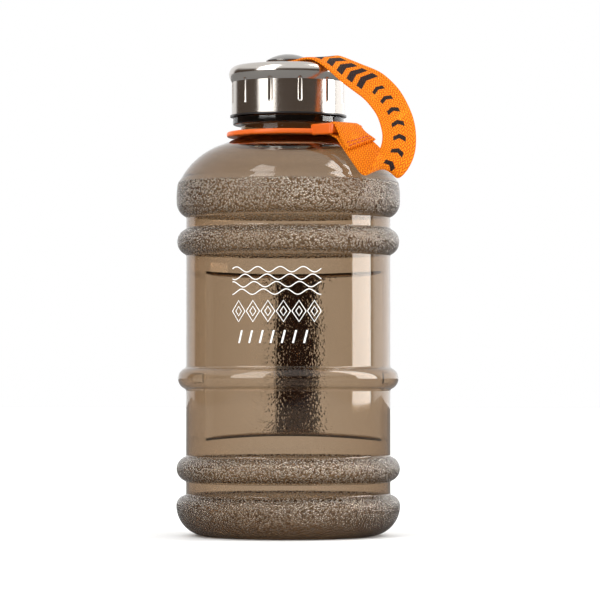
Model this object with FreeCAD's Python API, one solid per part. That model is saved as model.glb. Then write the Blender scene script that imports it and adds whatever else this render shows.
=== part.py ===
"""Large water jug: a ringed, see-through bottle with a moulded grip, a steel screw cap,
and a webbing carry strap that runs from a ring on the neck to a button on the cap.

Millimetres, +Z up. The origin is the centre of the foot, on the surface that the jug stands on.
The front of the jug faces -Y and the grip is at the back, at +Y.
"""
import FreeCAD, Part

import math
import os

V = FreeCAD.Vector
UP = V(0, 0, 1)

# Bottle body, outer surface
WALL = 1.5  # thickness of the blown wall
BODY_R = 59.2  # plain wall
RING_R = 64.8  # foot ring and shoulder ring
PUSH_UP = 6.0  # height of the hollow under the foot
FOOT_IN_R = 40.0  # where the hollow begins
FOOT_LOW_R = 17.5  # rounding of the foot ring, below its widest line
FOOT_TOP_R = 6.0  # and above it
BEADS = ((38.7, 64.7, 7.4), (91.0, 63.9, 6.64), (170.0, 64.4, 8.0))  # height, radius, rounding
SHOULDER_LOW_Z = 193.0  # the shoulder ring is straight from here
SHOULDER_HIGH_Z = 196.0  # to here
SHOULDER_LOW_R = 9.56
SHOULDER_HIGH_R = 40.6
GRAIN_TOP_Z = 204.5  # the grained band ends here in a small step
GRAIN_STEP = 0.6
DOME_R = 41.4
DOME_CENTRE = (25.73, 187.1)  # radius and height
DOME_END_R = 37.1  # the dome goes on as a cone from here

# Neck
NECK_R = 27.4
BORE_R = 25.4
COLLAR_R = 32.2
COLLAR_LOW_Z = 237.7
COLLAR_HIGH_Z = 242.3
THREAD_ROOT_R = 28.4
THREAD_CREST_R = 29.8
RIM_Z = 266.5
PITCH = 4.0
THREAD_TURNS = 2.25
THREAD_Z = 250.0
THREAD_ROOT_W = 1.8
THREAD_CREST_W = 0.9

# Grip: a hollow upright column that stands in a recess at the back
RECESS_LOW_Z = 58.0
RECESS_HIGH_Z = 151.0
RECESS_FRONT_Y = 12.0  # deepest point of the recess
RECESS_CURVE_R = 88.0
MOUTH_R = 5.0  # rounding where the recess meets the wall
RECESS_CORNER_R = 7.0  # rounding along the front of the recess's floor and ceiling
GRIP_W = 25.0
GRIP_FRONT_Y = 33.0
GRIP_BACK_Y = 58.0
GRIP_CORNER_R = 8.0
GRIP_WALL = 4.2
GRIP_FLARE_R = 5.0

# Neck ring and its lug
NECK_RING_R = 35.7
NECK_RING_IN_R = 28.2
NECK_RING_Z = 230.7
NECK_RING_T = 3.0
LUG_AZIMUTH = 52.0  # degrees from the front towards +X
LUG_BAR_OUT = 44.5
LUG_BAR_Z = 233.0
LUG_BAR_R = 2.2
EAR_T = 3.2
EAR_START = 31.0
EAR_OVERHANG = 2.6

# Strap: flat webbing
STRAP_W = 19.5
STRAP_T = 1.6
STRAP_STEP = 2.0  # length of each flat facet
STRAP_GAP = 0.3
TAB_Z = 273.5
TAB_END = -11.0
TAB_HOLE_R = 3.3
STITCH = (2.4, 0.6, 4.2)  # across the strap, along it, and through it
STITCH_COUNT = 6

# Cap
CAP_R = 32.9
CAP_LOW_Z = 243.4
CAP_BEAD_R = 34.5
CAP_BEAD_Z = 267.0
CAP_TOP_Z = 272.3
CAP_TOP_R = 29.0
SHEET_T = 0.6
FLUTE_COUNT = 12
FLUTE_R = 1.9
FLUTE_DEPTH = 0.8
FLUTE_LOW_Z = 249.0
FLUTE_HIGH_Z = 264.0
FLUTE_TURN = 18.7  # degrees from the front to the first flute
INSERT_R = 31.2
INSERT_IN_R = 30.1
INSERT_CREST_R = 28.75
INSERT_CEILING_Z = 268.2
FLANGE_R = 33.8
FLANGE_Z = 242.5
COUNTERBORE_R = 6.5
WEB_Z = 270.4
LINER_R = 29.4
LINER_T = 1.6

# Button: a binding post, whose screw is driven from inside the cap
BUTTON_R = 12.9
BUTTON_LOW_Z = 274.5
BUTTON_HIGH_Z = 279.2
BUTTON_RIM = 0.9
POST_R = 3.0
POST_HOLE_R = 3.08
POST_BORE_R = 1.55
SCREW_R = 1.5
SCREW_HEAD_R = 3.8
SCREW_HEAD_LOW_Z = 268.5
WASHER_R = 5.8
WASHER_LOW_Z = 269.5
WASHER_T = 0.7


def save(node, shape):
    """Write one solid, or one group of solids, as the STEP file of its node."""
    shape.exportStep("parts/" + node + ".step")
    print(node, "valid", shape.isValid(), "solids", len(shape.Solids), "volume", round(shape.Volume))


def at(radius, height):
    """A point of a turned outline."""
    return V(radius, 0, height)


def line(start, end):
    return Part.LineSegment(start, end).toShape()


def arc(start, middle, end):
    return Part.Arc(start, middle, end).toShape()


def round_arc(centre, radius, start, end):
    """The short arc about centre from start to end, which both lie at that radius from it."""
    middle = (start + end) * 0.5 - centre
    return arc(start, centre + middle.normalize() * radius, end)


def turned(edges):
    """The solid that a closed outline in the XZ plane sweeps about Z."""
    return Part.Face(Part.Wire(edges)).revolve(V(), UP, 360)


def cylinder(radius, low, high, place=(0, 0)):
    return Part.makeCylinder(radius, high - low, V(place[0], place[1], low))


def ring(outer, inner, low, high):
    return cylinder(outer, low, high).cut(cylinder(inner, low, high))


def ridge(root, crest, low, turns):
    """A helical thread ridge, from its root radius to its crest radius."""
    helix = Part.makeHelix(PITCH, PITCH * turns, root)
    root_half, crest_half = THREAD_ROOT_W / 2, THREAD_CREST_W / 2
    corners = [at(root, -root_half), at(crest, -crest_half), at(crest, crest_half), at(root, root_half)]
    profile = Part.makePolygon(corners + corners[:1])
    swept = Part.Wire(helix).makePipeShell([profile], True, True)
    swept.translate(V(0, 0, low))
    return swept


def circle_height(radius, centre_r, wall):
    """How far above its centre a circle in the outline crosses the radius `wall`."""
    return math.sqrt(radius**2 - (wall - centre_r) ** 2)


def body_outline(skin):
    """The outline of the bottle up to its neck: skin 0 is the outside, WALL the inside."""
    wall = BODY_R - skin
    widest = RING_R - skin
    foot_centre_r = RING_R - FOOT_LOW_R
    foot_end = at(foot_centre_r, skin)
    foot_side = at(widest, FOOT_LOW_R)
    hollow_r = (FOOT_IN_R**2 + PUSH_UP**2) / (2 * PUSH_UP)
    hollow_sag = hollow_r - math.sqrt(hollow_r**2 - (FOOT_IN_R / 2) ** 2)
    centre = at(0, PUSH_UP + skin)
    edges = [
        arc(centre, at(FOOT_IN_R / 2, PUSH_UP + skin - hollow_sag), at(FOOT_IN_R, skin)),
        line(at(FOOT_IN_R, skin), foot_end),
        round_arc(at(foot_centre_r, FOOT_LOW_R), FOOT_LOW_R - skin, foot_end, foot_side),
    ]
    top_centre_r = RING_R - FOOT_TOP_R
    rise = circle_height(FOOT_TOP_R - skin, top_centre_r, wall)
    here = at(wall, FOOT_LOW_R + rise)
    edges.append(round_arc(at(top_centre_r, FOOT_LOW_R), FOOT_TOP_R - skin, foot_side, here))
    for height, radius, rounding in BEADS:
        half = circle_height(rounding - skin, radius - rounding, wall)
        low, high = at(wall, height - half), at(wall, height + half)
        edges += [line(here, low), arc(low, at(radius - skin, height), high)]
        here = high
    low_centre_r = RING_R - SHOULDER_LOW_R
    drop = circle_height(SHOULDER_LOW_R - skin, low_centre_r, wall)
    low = at(wall, SHOULDER_LOW_Z - drop)
    side_low, side_high = at(widest, SHOULDER_LOW_Z), at(widest, SHOULDER_HIGH_Z)
    edges += [
        line(here, low),
        round_arc(at(low_centre_r, SHOULDER_LOW_Z), SHOULDER_LOW_R - skin, low, side_low),
        line(side_low, side_high),
    ]
    high_centre = at(RING_R - SHOULDER_HIGH_R, SHOULDER_HIGH_Z)
    high_r = SHOULDER_HIGH_R - skin
    reach = math.sqrt(high_r**2 - (GRAIN_TOP_Z - SHOULDER_HIGH_Z) ** 2)
    grain_end = at(high_centre.x + reach, GRAIN_TOP_Z)
    dome_centre = at(*DOME_CENTRE)
    dome_r = DOME_R - skin
    dome_low_z = GRAIN_TOP_Z + GRAIN_STEP
    dome_low = at(dome_centre.x + math.sqrt(dome_r**2 - (dome_low_z - dome_centre.z) ** 2), dome_low_z)
    slope = math.asin((DOME_END_R - dome_centre.x) / DOME_R)
    dome_high = dome_centre + at(math.sin(slope), math.cos(slope)) * dome_r
    inner_r = BORE_R if skin else NECK_R
    cone_top = dome_high + at(inner_r - dome_high.x, (dome_high.x - inner_r) * math.tan(slope))
    edges += [
        round_arc(high_centre, high_r, side_high, grain_end),
        line(grain_end, dome_low),
        round_arc(dome_centre, dome_r, dome_low, dome_high),
        line(dome_high, cone_top),
    ]
    return edges, centre, cone_top


def neck_outline(start):
    """The outside of the neck, from the top of the cone to the rim, then down the bore."""
    points = [
        start,
        at(NECK_R, COLLAR_LOW_Z),
        at(COLLAR_R - 0.8, COLLAR_LOW_Z),
        at(COLLAR_R, COLLAR_LOW_Z + 0.8),
        at(COLLAR_R, COLLAR_HIGH_Z - 0.8),
        at(COLLAR_R - 0.8, COLLAR_HIGH_Z),
        at(THREAD_ROOT_R, COLLAR_HIGH_Z),
        at(THREAD_ROOT_R, RIM_Z - 0.5),
        at(THREAD_ROOT_R - 0.5, RIM_Z),
    ]
    return [line(a, b) for a, b in zip(points, points[1:])], points[-1]


def grip_column(inset, low, high):
    """The column's upright prism, or with an inset the hollow inside it."""
    corner = GRIP_CORNER_R - inset
    half = GRIP_W / 2 - inset
    depth = GRIP_BACK_Y - GRIP_FRONT_Y - 2 * inset
    block = Part.makeBox(2 * half, depth, high - low, V(-half, GRIP_FRONT_Y + inset, low))
    upright = [e for e in block.Edges if abs(e.tangentAt(e.FirstParameter).z) > 0.9]
    return block.makeFillet(corner, upright)


def recess(skin):
    """The space cut out behind the recess's front wall, moved into the bottle by skin."""
    curve_r = RECESS_CURVE_R + skin
    round_r = MOUTH_R - skin
    curve_y = RECESS_FRONT_Y + RECESS_CURVE_R
    wall_r = BODY_R - skin
    to_curve, to_wall = curve_r + round_r, wall_r - round_r
    lip_y = (to_wall**2 - to_curve**2 + curve_y**2) / (2 * curve_y)
    lip = V(math.sqrt(to_wall**2 - lip_y**2), lip_y, 0)
    curve = V(0, curve_y, 0)
    on_curve = curve + (lip - curve).normalize() * curve_r
    on_wall = V(lip).normalize() * wall_r
    lip_middle = lip + ((on_curve + on_wall) * 0.5 - lip).normalize() * round_r
    away = on_wall + V(0.851, -0.525, 0) * 20
    far = V(away.x, 90, 0)

    def mirrored(point):
        return V(-point.x, point.y, point.z)

    outline = [
        arc(mirrored(on_curve), V(0, curve_y - curve_r, 0), on_curve),
        arc(on_curve, lip_middle, on_wall),
        line(on_wall, away),
        line(away, far),
        line(far, mirrored(far)),
        line(mirrored(far), mirrored(away)),
        line(mirrored(away), mirrored(on_wall)),
        arc(mirrored(on_wall), mirrored(lip_middle), mirrored(on_curve)),
    ]
    low, high = RECESS_LOW_Z - skin, RECESS_HIGH_Z + skin
    face = Part.Face(Part.Wire(outline))
    face.translate(V(0, 0, low))
    space = face.extrude(V(0, 0, high - low))
    floor_edges = [
        e
        for e in space.Edges
        if abs(e.CenterOfMass.z - low) < 0.01 or abs(e.CenterOfMass.z - high) < 0.01
    ]
    front = [e for e in floor_edges if e.BoundBox.YMin < RECESS_FRONT_Y + 1 and e.BoundBox.XLength > 80]
    return space.makeFillet(RECESS_CORNER_R - skin, front)


def grip_flares(low, high):
    """The flared feet where the column runs into the floor and the ceiling of the recess."""
    flares = []
    for z, way in ((low, 1), (high, -1)):
        foot = grip_column(-GRIP_FLARE_R, min(z, z + way * GRIP_FLARE_R), max(z, z + way * GRIP_FLARE_R))
        tip = [
            e
            for e in foot.Edges
            if abs(e.CenterOfMass.z - (z + way * GRIP_FLARE_R)) < 0.01
        ]
        flares.append(foot.makeChamfer(GRIP_FLARE_R - 0.05, tip))
    return flares


def bottle():
    """The whole blown bottle: outside less inside, with the grip's column left standing."""
    outer_edges, centre, cone_top = body_outline(0)
    neck_edges, rim = neck_outline(cone_top)
    axis = line(at(0, RIM_Z), centre)
    outer = turned(outer_edges + neck_edges + [line(rim, at(0, RIM_Z)), axis])
    inner_edges, inner_centre, inner_top = body_outline(WALL)
    bore_top = at(BORE_R, RIM_Z + 1)
    above = at(0, RIM_Z + 1)
    inner = turned(
        inner_edges + [line(inner_top, bore_top), line(bore_top, above), line(above, inner_centre)]
    )
    column = grip_column(0, RECESS_LOW_Z - 1, RECESS_HIGH_Z + 1)
    for flare in grip_flares(RECESS_LOW_Z, RECESS_HIGH_Z):
        column = column.fuse(flare)
    hollow = grip_column(GRIP_WALL, RECESS_LOW_Z - WALL - 1, RECESS_HIGH_Z + WALL + 1)
    outer = outer.cut(recess(0).cut(column))
    inner = inner.cut(recess(WALL).cut(hollow))
    body = outer.cut(inner)
    thread = ridge(THREAD_ROOT_R - 0.3, THREAD_CREST_R, THREAD_Z, THREAD_TURNS)
    return body.fuse(thread).removeSplitter()


def lug_frame(shape):
    """Turn a shape made along +X to the lug's side of the neck."""
    shape.rotate(V(), UP, LUG_AZIMUTH - 90)
    return shape


def neck_ring():
    """The flat ring round the neck, with two ears and the bar that the strap goes round."""
    body = ring(NECK_RING_R, NECK_RING_IN_R, NECK_RING_Z, NECK_RING_Z + NECK_RING_T)
    body = body.makeFillet(0.8, body.Edges)
    ear_in = STRAP_W / 2 + 0.5
    ear_length = LUG_BAR_OUT + EAR_OVERHANG - EAR_START
    ear_low, ear_high = LUG_BAR_Z - LUG_BAR_R - 0.9, LUG_BAR_Z + LUG_BAR_R + 1.1
    for side in (ear_in, -ear_in - EAR_T):
        ear = Part.makeBox(ear_length, EAR_T, ear_high - ear_low, V(EAR_START, side, ear_low))
        ends = [e for e in ear.Edges if abs(e.CenterOfMass.x - EAR_START - ear_length) < 0.01]
        body = body.fuse(lug_frame(ear.makeFillet(1.4, ends)))
    bar = Part.makeCylinder(LUG_BAR_R, 2 * ear_in + 2, V(LUG_BAR_OUT, -ear_in - 1, LUG_BAR_Z), V(0, 1, 0))
    return body.fuse(lug_frame(bar)).removeSplitter()


# The strap's route. Each row is a line across the webbing: its middle, as distance out
# from the axis, sideways, and height, and then the direction across the strap.
CAP_END_ROUTE = (
    (TAB_END, 0, TAB_Z, 0, 1, 0),
    (1, 0, TAB_Z, 0, 1, 0),
    (13, 0, TAB_Z, 0, 1, 0),
    (24, 0.4, 275.2, -0.02, 0.99, 0.07),
    (30.5, 1.2, 274.6, -0.06, 0.97, 0.2),
    (36, 2.2, 272.2, -0.11, 0.93, 0.34),
    (48, 4.2, 265.2, -0.05, 0.8, 0.6),
)
LOOP_ROUTE = (
    (48, 4.2, 265.2, -0.05, 0.8, 0.6),
    (61.2, 5.2, 258.2, 0.2, 0.72, 0.67),
    (72.5, 5.8, 248.8, 0.38, 0.74, 0.55),
    (79.9, 6.2, 237.2, 0.49, 0.8, 0.34),
    (82.9, 5.4, 225, 0.56, 0.82, 0.1),
    (82.2, 2.9, 216, 0.62, 0.78, -0.1),
    (79.6, 0, 211, 0.68, 0.73, -0.06),
    (73.9, -1.2, 209.6, 0.68, 0.72, 0.14),
    (67.3, -0.6, 213.4, 0.43, 0.8, 0.42),
    (59.8, 0.1, 220.1, 0.1, 0.85, 0.5),
    (52.4, 0.4, 226.1, 0, 0.92, 0.36),
    (48, 0.2, 228.7, 0, 0.99, 0.12),
    (44.5, 0, 229.4, 0, 1, 0),
    (40.9, 0, 233, 0, 1, 0),
    (44.5, 0, 236.5, 0, 1, 0),
    (48.8, 0, 234, 0, 0.99, 0.12),
    (51.6, 0.2, 230.1, 0, 0.94, 0.3),
    (54.8, 0.3, 226.8, 0, 0.9, 0.42),
    (58.4, 0.3, 223.9, 0.05, 0.88, 0.47),
)


def strap_edges(route):
    """The strap's two edges as curves over one shared parameter, and that parameter's end."""
    middles = [V(*row[:3]) for row in route]
    across = [V(*row[3:]).normalize() * (STRAP_W / 2) for row in route]
    marks = [0.0]
    for a, b in zip(middles, middles[1:]):
        marks.append(marks[-1] + a.distanceToPoint(b))
    curves = []
    for side in (-1, 1):
        curve = Part.BSplineCurve()
        curve.interpolate(Points=[m + w * side for m, w in zip(middles, across)], Parameters=marks)
        curves.append(curve)
    return curves, marks


def webbing(route, start=0.0):
    """A strip of webbing along the route, made of short facets."""
    (near, far), marks = strap_edges(route)
    length = marks[-1] - start
    count = round(length / STRAP_STEP)
    sections = []
    for i in range(count + 1):
        t = start + length * i / count
        a, b = near.value(t), far.value(t)
        run = near.tangent(t)[0] + far.tangent(t)[0]
        face_out = run.cross(b - a).normalize() * (STRAP_T / 2)
        middle = (a + b) * 0.5
        half = (b - a).normalize() * (STRAP_W / 2)
        corners = [middle - half - face_out, middle + half - face_out]
        corners += [middle + half + face_out, middle - half + face_out]
        sections.append(Part.makePolygon(corners + corners[:1]))
    return Part.makeLoft(sections, True, True)


def strap_cap_end():
    """The end of the strap that lies under the button and lifts with the cap."""
    strip = webbing(CAP_END_ROUTE)
    return lug_frame(strip.cut(cylinder(TAB_HOLE_R, TAB_Z - 3, TAB_Z + 3)))


def strap_loop():
    """The rest of the strap: down, round the fold, through the lug, and back as a sewn tail."""
    return lug_frame(webbing(LOOP_ROUTE, STRAP_GAP))


def strap_stitching():
    """The row of stitches that holds the tail down on the strap."""
    (near, far), marks = strap_edges(LOOP_ROUTE)
    t = marks[-1] - 1.5
    a, b = near.value(t), far.value(t)
    across = (b - a).normalize()
    run = near.tangent(t)[0]
    through = run.cross(across).normalize()
    run = across.cross(through)
    width, along, deep = STITCH
    pitch = (STRAP_W - 3) / STITCH_COUNT
    stitches = []
    for i in range(STITCH_COUNT):
        middle = (a + b) * 0.5 + across * ((i - (STITCH_COUNT - 1) / 2) * pitch) - through * 0.85
        stitch = Part.makeBox(width, along, deep, V(-width / 2, -along / 2, -deep / 2))
        matrix = FreeCAD.Matrix()
        matrix.setCol(0, across)
        matrix.setCol(1, run)
        matrix.setCol(2, across.cross(run))
        matrix.setCol(3, middle)
        stitches.append(stitch.transformGeometry(matrix))
    return lug_frame(Part.makeCompound(stitches))


def cap_outline(skin):
    """The outside of the steel cap, or with skin its inside, from the rim to the axis."""
    shoulder = CAP_BEAD_Z - 4.5
    return [
        line(at(CAP_R - skin, CAP_LOW_Z), at(CAP_R - skin, shoulder)),
        arc(
            at(CAP_R - skin, shoulder),
            at(CAP_R + 0.9 - skin, CAP_BEAD_Z - 2.6),
            at(CAP_BEAD_R - skin, CAP_BEAD_Z),
        ),
        arc(
            at(CAP_BEAD_R - skin, CAP_BEAD_Z),
            at(CAP_BEAD_R - 1.5 - skin * 0.8, CAP_TOP_Z - 1.5 - skin * 0.8),
            at(CAP_TOP_R, CAP_TOP_Z - skin),
        ),
        line(at(CAP_TOP_R, CAP_TOP_Z - skin), at(0, CAP_TOP_Z - skin)),
    ]


def flutes(radius):
    """Twelve upright round-ended bars, which press the flutes into the cap."""
    bars = []
    out = CAP_R - FLUTE_DEPTH + FLUTE_R
    low, high = FLUTE_LOW_Z + FLUTE_R, FLUTE_HIGH_Z - FLUTE_R
    for i in range(FLUTE_COUNT):
        turn = math.radians(FLUTE_TURN + i * 360 / FLUTE_COUNT)
        place = V(out * math.sin(turn), -out * math.cos(turn), 0)
        bar = cylinder(radius, low, high, (place.x, place.y))
        for z in (low, high):
            bar = bar.fuse(Part.makeSphere(radius, place + UP * z))
        bars.append(bar)
    return Part.makeCompound(bars)


def cap_shell():
    """The steel cap: one drawn sheet with flutes pressed into its wall."""
    low = CAP_LOW_Z
    outside = turned(
        cap_outline(0) + [line(at(0, CAP_TOP_Z), at(0, low)), line(at(0, low), at(CAP_R, low))]
    )
    inside = turned(
        cap_outline(SHEET_T)
        + [line(at(0, CAP_TOP_Z - SHEET_T), at(0, low)), line(at(0, low), at(CAP_R - SHEET_T, low))]
    )
    inside = inside.cut(flutes(FLUTE_R + SHEET_T))
    shell = outside.cut(inside).cut(flutes(FLUTE_R))
    return shell.cut(cylinder(POST_HOLE_R, CAP_TOP_Z - 2, CAP_TOP_Z + 2))


def cap_insert():
    """The threaded plastic liner cup of the cap, whose flange shows below the steel."""
    top = CAP_TOP_Z - SHEET_T
    body = cylinder(INSERT_R, FLANGE_Z, top)
    body = body.makeFillet(2.5, [e for e in body.Edges if abs(e.CenterOfMass.z - top) < 0.01])
    body = body.fuse(cylinder(FLANGE_R, FLANGE_Z, CAP_LOW_Z))
    body = body.cut(cylinder(INSERT_IN_R, FLANGE_Z - 1, INSERT_CEILING_Z))
    body = body.cut(cylinder(COUNTERBORE_R, INSERT_CEILING_Z - 1, WEB_Z))
    body = body.cut(cylinder(POST_HOLE_R, WEB_Z - 1, top + 1))
    thread = ridge(INSERT_IN_R + 0.3, INSERT_CREST_R, THREAD_Z - PITCH / 2, THREAD_TURNS)
    return body.fuse(thread).removeSplitter()


def strap_button():
    """The domed head over the strap, with its hollow post."""
    rim_high = BUTTON_LOW_Z + BUTTON_RIM
    sag = BUTTON_HIGH_Z - rim_high
    dome_r = (BUTTON_R**2 + sag**2) / (2 * sag)
    half = BUTTON_R * 0.5
    half_z = BUTTON_HIGH_Z - dome_r + math.sqrt(dome_r**2 - half**2)
    outline = [
        line(at(0, BUTTON_LOW_Z), at(BUTTON_R - 0.4, BUTTON_LOW_Z)),
        line(at(BUTTON_R - 0.4, BUTTON_LOW_Z), at(BUTTON_R, BUTTON_LOW_Z + 0.4)),
        line(at(BUTTON_R, BUTTON_LOW_Z + 0.4), at(BUTTON_R, rim_high)),
        arc(at(BUTTON_R, rim_high), at(half, half_z), at(0, BUTTON_HIGH_Z)),
        line(at(0, BUTTON_HIGH_Z), at(0, BUTTON_LOW_Z)),
    ]
    head = turned(outline)
    washer_top = WASHER_LOW_Z + WASHER_T
    post = cylinder(POST_R, washer_top, BUTTON_LOW_Z + 0.5)
    return head.fuse(post).cut(cylinder(POST_BORE_R, washer_top - 1, BUTTON_LOW_Z + 1.5))


def button_screw():
    """The low-headed screw that closes the post from inside the cap, with a cross recess."""
    head = cylinder(SCREW_HEAD_R, SCREW_HEAD_LOW_Z, WASHER_LOW_Z)
    body = head.fuse(cylinder(SCREW_R, WASHER_LOW_Z, BUTTON_LOW_Z + 1))
    for turn in (0, 90):
        slot = Part.makeBox(4.4, 0.9, 0.6, V(-2.2, -0.45, SCREW_HEAD_LOW_Z))
        slot.rotate(V(), UP, turn)
        body = body.cut(slot)
    return body


os.makedirs("parts", exist_ok=True)
save("bottle", bottle())
save("neck_ring", neck_ring())
save("strap_loop", strap_loop())
save("strap_cap_end", strap_cap_end())
save("strap_stitching", strap_stitching())
save("cap_shell", cap_shell())
save("cap_insert", cap_insert())
save("cap_liner", cylinder(LINER_R, INSERT_CEILING_Z - LINER_T, INSERT_CEILING_Z))
save("strap_button", strap_button())
save("button_screw", button_screw())
save("button_washer", ring(WASHER_R, SCREW_R + 0.15, WASHER_LOW_Z, WASHER_LOW_Z + WASHER_T))
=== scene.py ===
"""Large water jug: the looks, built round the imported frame.

The jug is a blown, see-through bottle with grained rings and a hollow grip, a steel screw cap,
and a webbing strap that runs from a ring on the neck to a button on the cap. Lengths in the
classes are millimetres, and turn to metres where a mesh is made.
"""
from __future__ import annotations

import logging
import math
from dataclasses import dataclass
from enum import Enum
from typing import Any, Sequence

import bmesh
import bpy
import numpy as np
from mathutils import Matrix, Vector

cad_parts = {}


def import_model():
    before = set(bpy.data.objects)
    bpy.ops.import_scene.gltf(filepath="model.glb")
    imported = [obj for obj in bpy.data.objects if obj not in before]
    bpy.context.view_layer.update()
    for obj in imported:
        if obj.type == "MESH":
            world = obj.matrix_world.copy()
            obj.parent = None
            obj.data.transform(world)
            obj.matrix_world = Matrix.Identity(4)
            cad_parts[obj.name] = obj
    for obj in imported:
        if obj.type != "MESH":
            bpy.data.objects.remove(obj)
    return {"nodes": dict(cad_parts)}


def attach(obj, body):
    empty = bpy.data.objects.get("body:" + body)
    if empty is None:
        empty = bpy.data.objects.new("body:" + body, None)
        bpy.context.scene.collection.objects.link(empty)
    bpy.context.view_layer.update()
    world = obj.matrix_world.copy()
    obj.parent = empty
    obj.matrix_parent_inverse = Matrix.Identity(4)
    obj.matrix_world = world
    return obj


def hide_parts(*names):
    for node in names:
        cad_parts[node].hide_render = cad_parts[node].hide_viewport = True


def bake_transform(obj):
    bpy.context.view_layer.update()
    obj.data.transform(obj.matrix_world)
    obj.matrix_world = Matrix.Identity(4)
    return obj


LOG = logging.getLogger("jug")
MM = 0.001
FULL_TURN = 2 * math.pi
QUARTER = math.pi / 2
OUTER_SKIN = "outer_skin"  # face attribute: 1 on the bottle's outside
CLOTH = "cloth"  # point attribute: across, along and side of the webbing
LUG_TURN = math.radians(52.0 - 90.0)  # from +X to the strap's side of the neck
LIGHT_PATH = "ShaderNodeLightPath"
Pair = tuple[float, float]
Triple = tuple[float, float, float]


# ---------------------------------------------------------------- shader building
class Socket:
    """A shader output whose Python operators add Math nodes."""

    def __init__(self, graph: "Graph", source: bpy.types.NodeSocket) -> None:
        """Wrap an output socket of a graph."""
        self.graph = graph
        self.source = source

    def maths(self, operation: str, *values: "Socket | float") -> "Socket":
        """The result of a maths operation on inputs, which are sockets or numbers."""
        return self.graph.node("ShaderNodeMath", {"operation": operation}, *values)

    def __add__(self, other: "Socket | float") -> "Socket":
        """This plus other."""
        return self.maths("ADD", self, other)

    def __sub__(self, other: "Socket | float") -> "Socket":
        """This minus other."""
        return self.maths("SUBTRACT", self, other)

    def __rsub__(self, other: float) -> "Socket":
        """A number minus this."""
        return self.maths("SUBTRACT", other, self)

    def __mul__(self, other: "Socket | float") -> "Socket":
        """This times other."""
        return self.maths("MULTIPLY", self, other)

    __radd__ = __add__
    __rmul__ = __mul__

    def __abs__(self) -> "Socket":
        """The size of this without its sign."""
        return self.maths("ABSOLUTE", self)

    def step(self, low: float, high: float) -> "Socket":
        """A smooth step.

        Args:
            low: where it is 0, which may be the larger.
            high: where it is 1.

        Returns:
            The step's value.
        """
        if low > high:
            return 1 - self.step(high, low)
        smooth = {"interpolation_type": "SMOOTHSTEP"}
        limits = {"From Min": low, "From Max": high}
        return self.graph.node("ShaderNodeMapRange", smooth, Value=self, **limits)

    def band(self, low: float, high: float, soft: float) -> "Socket":
        """1 between low and high and 0 outside, with a soft edge."""
        return self.step(low - soft, low + soft) * self.step(high + soft, high - soft)


class Graph:
    """The nodes of one material or world, which all come from the method `node`."""

    def __init__(self, owner: bpy.types.Material | bpy.types.World) -> None:
        """Empty the node tree of a material or world, and keep it.

        Args:
            owner: the material or world.
        """
        owner.use_nodes = True
        self.tree = owner.node_tree
        self.tree.nodes.clear()

    def node(
        self,
        kind: str,
        settings: dict[str, Any] | None = None,
        *values: Any,
        out: str | int = 0,
        **named: Any,
    ) -> Socket:
        """Add a node.

        Args:
            kind: the node's type.
            settings: what is set before the inputs, such as an operation.
            values: inputs in order.
            out: the wanted output, by name or place.
            named: inputs by name.

        Returns:
            The wanted output.
        """
        node = self.tree.nodes.new(kind)
        for name, value in (settings or {}).items():
            setattr(node, name, value)
        for key, value in [*enumerate(values), *named.items()]:
            if isinstance(value, Socket):
                self.tree.links.new(value.source, node.inputs[key])
            elif value is not None:
                node.inputs[key].default_value = value
        return Socket(self, node.outputs[out] if len(node.outputs) else None)

    def where(self) -> Socket:
        """The point on the piece, in its own coordinates."""
        return self.node("ShaderNodeTexCoord", out="Object")

    def split(self, vector: Socket) -> tuple[Socket, Socket, Socket]:
        """The X, Y and Z of a vector."""
        node = self.node("ShaderNodeSeparateXYZ", None, vector)
        return tuple(Socket(self, output) for output in node.source.node.outputs)

    def vector(self, x: Socket | float, y: Socket | float, z: Socket | float) -> Socket:
        """A vector from three numbers."""
        return self.node("ShaderNodeCombineXYZ", None, x, y, z)

    def mix(self, factor: Socket, low: Any, high: Any) -> Socket:
        """A colour between two.

        Args:
            factor: 0 for the first and 1 for the second.
            low: the first colour.
            high: the second colour.

        Returns:
            The mixed colour.
        """
        mixed = self.node("ShaderNodeMix", {"data_type": "RGBA"}, out=2)
        inputs = mixed.source.node.inputs
        for place, value in ((0, factor), (6, low), (7, high)):
            if isinstance(value, Socket):
                self.tree.links.new(value.source, inputs[place])
            else:
                inputs[place].default_value = value
        return mixed

    def noise(self, where: Socket, scale: float, detail: float = 2.0) -> Socket:
        """Soft random values about 0.5."""
        return self.node("ShaderNodeTexNoise", None, Vector=where, Scale=scale, Detail=detail)

    def bump(self, height: Socket, distance: float) -> Socket:
        """A normal from a height that stands for `distance` metres at 1."""
        return self.node("ShaderNodeBump", None, Strength=1.0, Distance=distance, Height=height)

    def principled(self, **inputs: Any) -> Socket:
        """The main surface shader, whose inputs are named with _ for a space."""
        spaced = {name.replace("_", " "): value for name, value in inputs.items()}
        return self.node("ShaderNodeBsdfPrincipled", None, **spaced)

    def blend(self, factor: Socket, first: Socket, second: Socket) -> Socket:
        """A shader between two."""
        return self.node("ShaderNodeMixShader", None, factor, first, second)

    def cells(self, where: Socket, size: float) -> Socket:
        """The distance to the middle of the nearest cell, for cells of a size in millimetres."""
        return self.node("ShaderNodeTexVoronoi", {"feature": "F1"}, Vector=where, Scale=1 / (size * MM))

    def finish(self, surface: Socket, volume: Socket | None = None) -> None:
        """Join the shader to the material's output."""
        self.node("ShaderNodeOutputMaterial", None, surface, volume)


def new_material(name: str) -> tuple[bpy.types.Material, Graph]:
    """A new empty material and its graph."""
    made = bpy.data.materials.new(name)
    return made, Graph(made)


def rgba(red: float, green: float, blue: float) -> tuple[float, float, float, float]:
    """A solid colour."""
    return (red, green, blue, 1.0)


def grey(level: float) -> tuple[float, float, float, float]:
    """A solid grey, or past 1 a glowing white."""
    return rgba(level, level, level)


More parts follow.
